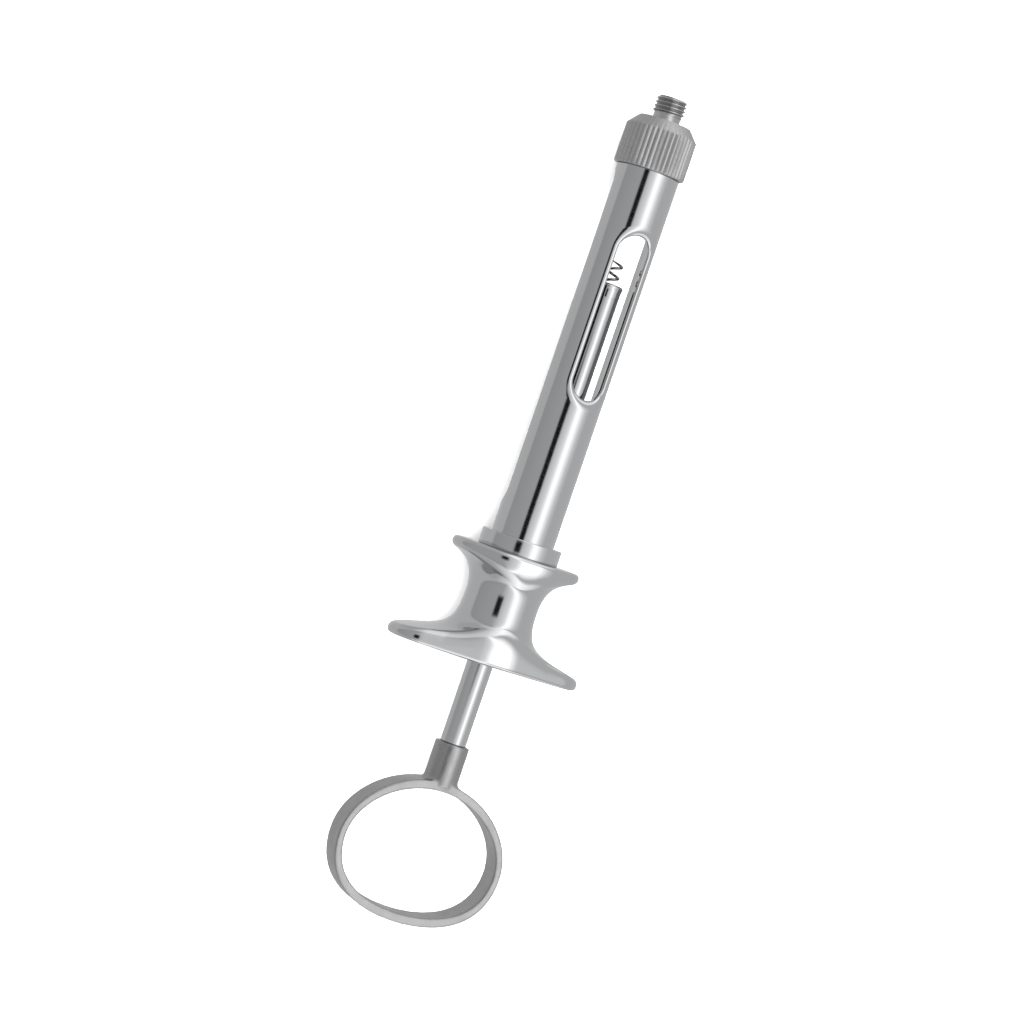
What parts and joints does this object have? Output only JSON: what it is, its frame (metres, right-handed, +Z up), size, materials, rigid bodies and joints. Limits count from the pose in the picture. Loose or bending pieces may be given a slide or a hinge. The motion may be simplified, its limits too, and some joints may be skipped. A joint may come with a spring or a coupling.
{
  "type": "aspirating dental syringe",
  "caption": "Breech-loading aspirating dental cartridge syringe: threaded needle tip, knurled cap, windowed barrel, winged finger grip, corkscrew piston and oval thumb ring.",
  "frame": {"origin": "middle of the underside: halfway along the syringe, below its axis, at the level of the finger grip's lowest edge", "axes": "+X along the syringe's axis towards the needle, +Z up through the viewing window, +Y across the finger wings"},
  "size_m": [0.1604, 0.0384, 0.018],
  "materials": {
    "polished_steel": "mirror polished",
    "satin_steel": "satin, bead blasted",
    "guide_bronze": "turned",
    "seal_rubber": "matte",
    "bush_plastic": "matte"
  },
  "bodies": {
    "barrel_assembly": {"barrel": "polished_steel", "barrel_collar": "polished_steel", "finger_grip": "polished_steel", "guide_bearing": "guide_bronze", "friction_ring": "seal_rubber", "gland_nut": "guide_bronze", "rear_guide_bush": "bush_plastic"},
    "piston": {"piston_rod": "polished_steel", "piston_head": "polished_steel"},
    "thumb_ring_and_corkscrew": {"thumb_ring": "satin_steel", "corkscrew_tip": "polished_steel"},
    "needle_adapter": {"needle_adapter": "polished_steel"},
    "knurled_cap": {"knurled_cap": "satin_steel"}
  },
  "joints": [
    {"name": "piston_slide", "type": "slide", "parent": "barrel_assembly", "child": "piston", "axis": [1, 0, 0], "range_m": [-0.04825, 0.016]},
    {"name": "piston_twist", "type": "hinge", "parent": "piston", "child": "thumb_ring_and_corkscrew", "pos_m": [0, 0, 0.009], "axis": [1, 0, 0], "continuous": true},
    {"name": "adapter_travel", "type": "slide", "parent": "barrel_assembly", "child": "needle_adapter", "axis": [1, 0, 0], "range_m": [0, 0.00525]},
    {"name": "cap_unscrew", "type": "hinge", "parent": "needle_adapter", "child": "knurled_cap", "pos_m": [0, 0, 0.009], "axis": [1, 0, 0], "range_deg": [0, 2520]}
  ],
  "couplings": [
    {"joint": "cap_unscrew", "follows": "adapter_travel", "rad_per_m": 8377.6}
  ]
}
